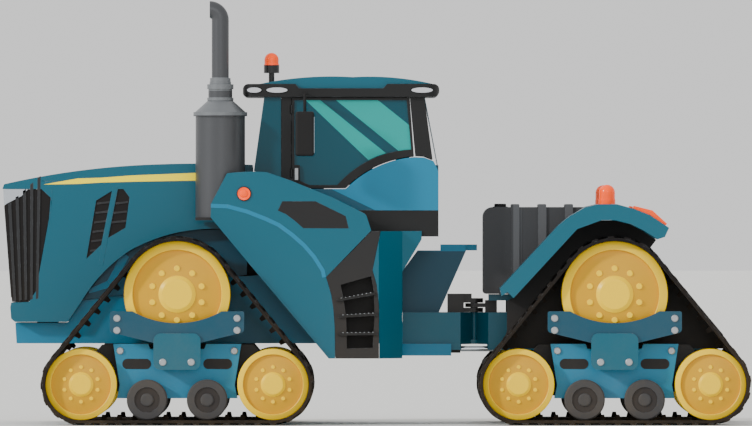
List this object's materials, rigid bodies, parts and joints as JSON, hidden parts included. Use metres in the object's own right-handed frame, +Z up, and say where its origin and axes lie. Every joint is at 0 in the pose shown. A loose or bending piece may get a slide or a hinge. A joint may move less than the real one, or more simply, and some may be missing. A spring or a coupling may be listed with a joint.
{
  "type": "articulated tracked farm tractor",
  "caption": "Large articulated farm tractor on triangular rubber-track units, with a glazed cab, tall exhaust stack, tilting hood, opening door and swinging drawbar.",
  "frame": {"origin": "on the ground, under the middle of the overall length and width", "axes": "+X forward, +Y to the tractor's left, +Z up"},
  "size_m": [7.501, 3, 4.2448],
  "materials": {
    "main_paint": "gloss",
    "light_paint": "gloss",
    "dark_paint": "gloss",
    "dark_grey_paint": "satin",
    "mid_grey_paint": "satin",
    "wheel_paint": "gloss",
    "belt_rubber": "matte",
    "black_plastic": "textured",
    "tank_plastic": "satin",
    "lamp_lens": "clear",
    "beacon_lens": "clear",
    "cab_glass": "tinted",
    "seat_fabric": "woven",
    "cylinder_steel": "polished",
    "engine_iron": "rough"
  },
  "bodies": {
    "front_chassis": {"front_frame": "light_paint", "hinge_block": "main_paint", "front_axle": "dark_grey_paint", "engine_block": "engine_iron", "engine_shields": "dark_paint", "exhaust_stack": "mid_grey_paint", "side_panels": "main_paint", "mudguard_boxes": "main_paint", "step_well": "light_paint", "cab_steps": "black_plastic", "cab_floor": "dark_paint", "cab_side_walls": "light_paint", "cab_end_walls": "main_paint", "cab_posts": "black_plastic", "windscreen": "cab_glass", "rear_window": "cab_glass", "right_window_frame": "black_plastic", "right_window_glass": "cab_glass", "roof_rail": "black_plastic", "cab_roof": "main_paint", "cab_beacon": "beacon_lens", "mirrors": "black_plastic", "operator_seat": "seat_fabric", "cab_controls": "black_plastic", "rear_deck": "dark_paint"},
    "hood": {"hood_top": "main_paint", "hood_sides": "main_paint", "hood_grilles": "black_plastic", "headlamps": "lamp_lens"},
    "left_door": {"left_door_frame": "black_plastic", "left_door_glass": "cab_glass"},
    "articulation": {"articulation_yoke": "main_paint"},
    "left_barrel": {"left_steering_barrel": "dark_grey_paint"},
    "left_rod": {"left_steering_rod": "cylinder_steel"},
    "right_barrel": {"right_steering_barrel": "dark_grey_paint"},
    "right_rod": {"right_steering_rod": "cylinder_steel"},
    "rear_chassis": {"rear_frame": "dark_grey_paint", "rear_axle": "dark_grey_paint", "fuel_tank": "tank_plastic", "rear_fenders": "main_paint", "fender_liners": "dark_grey_paint", "rear_lamps": "beacon_lens", "drawbar_support": "dark_grey_paint"},
    "drawbar_bar": {"drawbar": "dark_grey_paint"},
    "front_left_track": {"front_left_track_belt": "belt_rubber", "front_left_track_wheels": "wheel_paint", "front_left_track_frame": "light_paint"},
    "front_right_track": {"front_right_track_belt": "belt_rubber", "front_right_track_wheels": "wheel_paint", "front_right_track_frame": "light_paint"},
    "rear_left_track": {"rear_left_track_belt": "belt_rubber", "rear_left_track_wheels": "wheel_paint", "rear_left_track_frame": "light_paint"},
    "rear_right_track": {"rear_right_track_belt": "belt_rubber", "rear_right_track_wheels": "wheel_paint", "rear_right_track_frame": "light_paint"}
  },
  "joints": [
    {"name": "steering", "type": "hinge", "parent": "front_chassis", "child": "articulation", "pos_m": [-0.9895, 0, 0.932], "axis": [0, 0, 1], "range_deg": [-36, 36]},
    {"name": "oscillation", "type": "hinge", "parent": "articulation", "child": "rear_chassis", "pos_m": [-1.7095, 0, 0.96], "axis": [1, 0, 0], "range_deg": [-10, 10]},
    {"name": "hood_tilt", "type": "hinge", "parent": "front_chassis", "child": "hood", "pos_m": [1.2875, 0, 2.585], "axis": [0, -1, 0], "range_deg": [0, 45]},
    {"name": "left_door_hinge", "type": "hinge", "parent": "front_chassis", "child": "left_door", "pos_m": [0.8455, 0.862, 2.8], "axis": [0, 0, -1], "range_deg": [0, 55]},
    {"name": "drawbar_swing", "type": "hinge", "parent": "rear_chassis", "child": "drawbar_bar", "pos_m": [-2.6845, 0, 0.465], "axis": [0, 0, 1], "range_deg": [-15, 15]},
    {"name": "left_barrel_pivot", "type": "hinge", "parent": "front_chassis", "child": "left_barrel", "pos_m": [-0.2895, 0.23, 0.752], "axis": [0, 0, 1], "range_deg": [-12, 12]},
    {"name": "left_rod_slide", "type": "slide", "parent": "left_barrel", "child": "left_rod", "axis": [-1, 0, 0], "range_m": [-0.18, 0.18]},
    {"name": "right_barrel_pivot", "type": "hinge", "parent": "front_chassis", "child": "right_barrel", "pos_m": [-0.2895, -0.23, 0.752], "axis": [0, 0, 1], "range_deg": [-12, 12]},
    {"name": "right_rod_slide", "type": "slide", "parent": "right_barrel", "child": "right_rod", "axis": [-1, 0, 0], "range_m": [-0.18, 0.18]},
    {"name": "front_left_track_pitch", "type": "hinge", "parent": "front_chassis", "child": "front_left_track", "pos_m": [1.9875, 0, 1.308], "axis": [0, 1, 0], "range_deg": [-8, 8]},
    {"name": "front_right_track_pitch", "type": "hinge", "parent": "front_chassis", "child": "front_right_track", "pos_m": [1.9875, 0, 1.308], "axis": [0, 1, 0], "range_deg": [-8, 8]},
    {"name": "rear_left_track_pitch", "type": "hinge", "parent": "rear_chassis", "child": "rear_left_track", "pos_m": [-2.3845, 0, 1.308], "axis": [0, 1, 0], "range_deg": [-8, 8]},
    {"name": "rear_right_track_pitch", "type": "hinge", "parent": "rear_chassis", "child": "rear_right_track", "pos_m": [-2.3845, 0, 1.308], "axis": [0, 1, 0], "range_deg": [-8, 8]}
  ],
  "couplings": [
    {"joint": "left_barrel_pivot", "follows": "steering", "ratio": 0.234},
    {"joint": "left_rod_slide", "follows": "steering", "m_per_rad": 0.223},
    {"joint": "right_barrel_pivot", "follows": "steering", "ratio": 0.234},
    {"joint": "right_rod_slide", "follows": "steering", "m_per_rad": -0.223}
  ]
}
